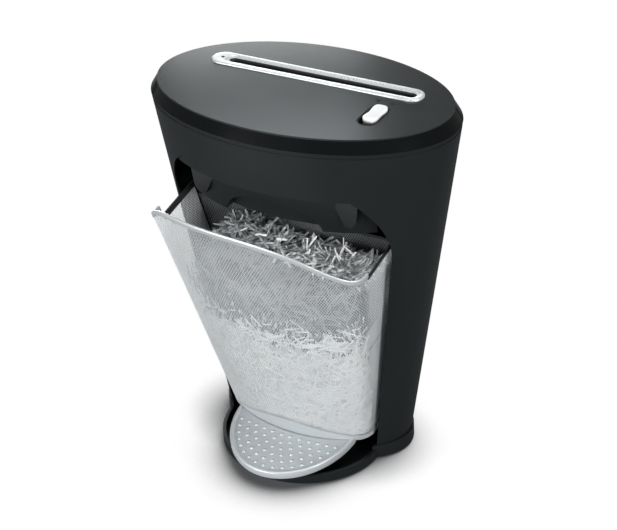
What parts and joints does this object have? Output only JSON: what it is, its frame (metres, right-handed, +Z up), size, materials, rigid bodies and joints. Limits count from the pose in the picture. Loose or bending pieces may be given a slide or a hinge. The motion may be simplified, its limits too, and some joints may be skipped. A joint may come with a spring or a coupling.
{
  "type": "paper shredder",
  "caption": "Oval floor-standing paper shredder with a top paper slot, slide switch and a pedal-opened tilt-out wire mesh bin.",
  "frame": {"origin": "on the floor under the middle of the oval body", "axes": "+X right along the paper slot, +Y to the back, +Z up; the bin and pedal are at -Y"},
  "size_m": [0.378, 0.2915, 0.463],
  "materials": {
    "satin_black": "satin moulded, fine grain",
    "gloss_black": "gloss",
    "satin_grey": "satin metallic paint",
    "bright_trim": "satin silver",
    "well_black": "matt",
    "white_plastic": "gloss",
    "lamp": "smoked lens",
    "wire_mesh": "fine woven silver mesh",
    "silver_hem": "satin silver",
    "silver_plastic": "silver paint on plastic",
    "dark_plastic": "matt",
    "rubber": "matt",
    "steel": "machined",
    "bronze": "sintered",
    "gear_plastic": "natural nylon",
    "board_green": "solder mask"
  },
  "bodies": {
    "housing": {"base": "satin_black", "rubber_feet": "rubber", "base_screws": "steel", "hinge_bracket_left": "dark_plastic", "hinge_bracket_right": "dark_plastic", "pedal_stop": "rubber", "body_shell": "satin_black", "head_tray": "satin_black", "head_skirt": "satin_black", "interlock_switch": "well_black", "lid_rim": "gloss_black", "lid_top": "satin_grey", "slot_trim": "bright_trim", "indicator_lamps": "lamp", "paper_guide": "well_black", "paper_sensor": "well_black", "switch_well": "well_black", "frame_plate_left": "steel", "frame_plate_right": "steel", "tie_rods": "steel", "frame_nuts": "steel", "shaft_bushes": "bronze", "stripper_front": "dark_plastic", "stripper_rear": "dark_plastic", "idler_pin": "steel", "motor_can": "steel", "motor_saddle": "dark_plastic", "circuit_board": "board_green", "board_standoffs": "dark_plastic", "power_inlet": "well_black"},
    "bin": {"bin_front": "wire_mesh", "bin_hem": "silver_hem", "bin_apron": "silver_plastic", "bin_side_left": "wire_mesh", "bin_side_right": "wire_mesh", "bin_side_strip_left": "dark_plastic", "bin_side_strip_right": "dark_plastic", "bin_back": "wire_mesh", "bin_floor": "dark_plastic", "hinge_pins": "steel", "pedal": "silver_plastic"},
    "switch": {"switch_button": "white_plastic"},
    "cutter_front": {"cutter_front": "steel", "sync_gear_front": "gear_plastic", "drive_gear": "gear_plastic"},
    "cutter_rear": {"cutter_rear": "steel", "sync_gear_rear": "gear_plastic"},
    "idler": {"idler_gear": "steel"},
    "motor_rotor": {"motor_shaft": "steel"}
  },
  "joints": [
    {"name": "bin_tilt", "type": "hinge", "parent": "housing", "child": "bin", "pos_m": [0, -0.06, 0.022], "axis": [1, 0, 0], "range_deg": [-11, 0]},
    {"name": "switch_slide", "type": "slide", "parent": "housing", "child": "switch", "axis": [0, 1, 0], "range_m": [-0.008, 0]},
    {"name": "cutter_front_spin", "type": "hinge", "parent": "housing", "child": "cutter_front", "pos_m": [0, 0.012, 0.414], "axis": [1, 0, 0], "continuous": true},
    {"name": "cutter_rear_spin", "type": "hinge", "parent": "housing", "child": "cutter_rear", "pos_m": [0, 0.048, 0.414], "axis": [1, 0, 0], "continuous": true},
    {"name": "idler_spin", "type": "hinge", "parent": "housing", "child": "idler", "pos_m": [0.135, -0.01619, 0.42426], "axis": [1, 0, 0], "continuous": true},
    {"name": "motor_spin", "type": "hinge", "parent": "housing", "child": "motor_rotor", "pos_m": [0.06, -0.0442, 0.41675], "axis": [1, 0, 0], "continuous": true}
  ],
  "couplings": [
    {"joint": "idler_spin", "follows": "motor_spin", "ratio": -0.31818},
    {"joint": "cutter_front_spin", "follows": "motor_spin", "ratio": 0.13636},
    {"joint": "cutter_rear_spin", "follows": "motor_spin", "ratio": -0.13636}
  ]
}
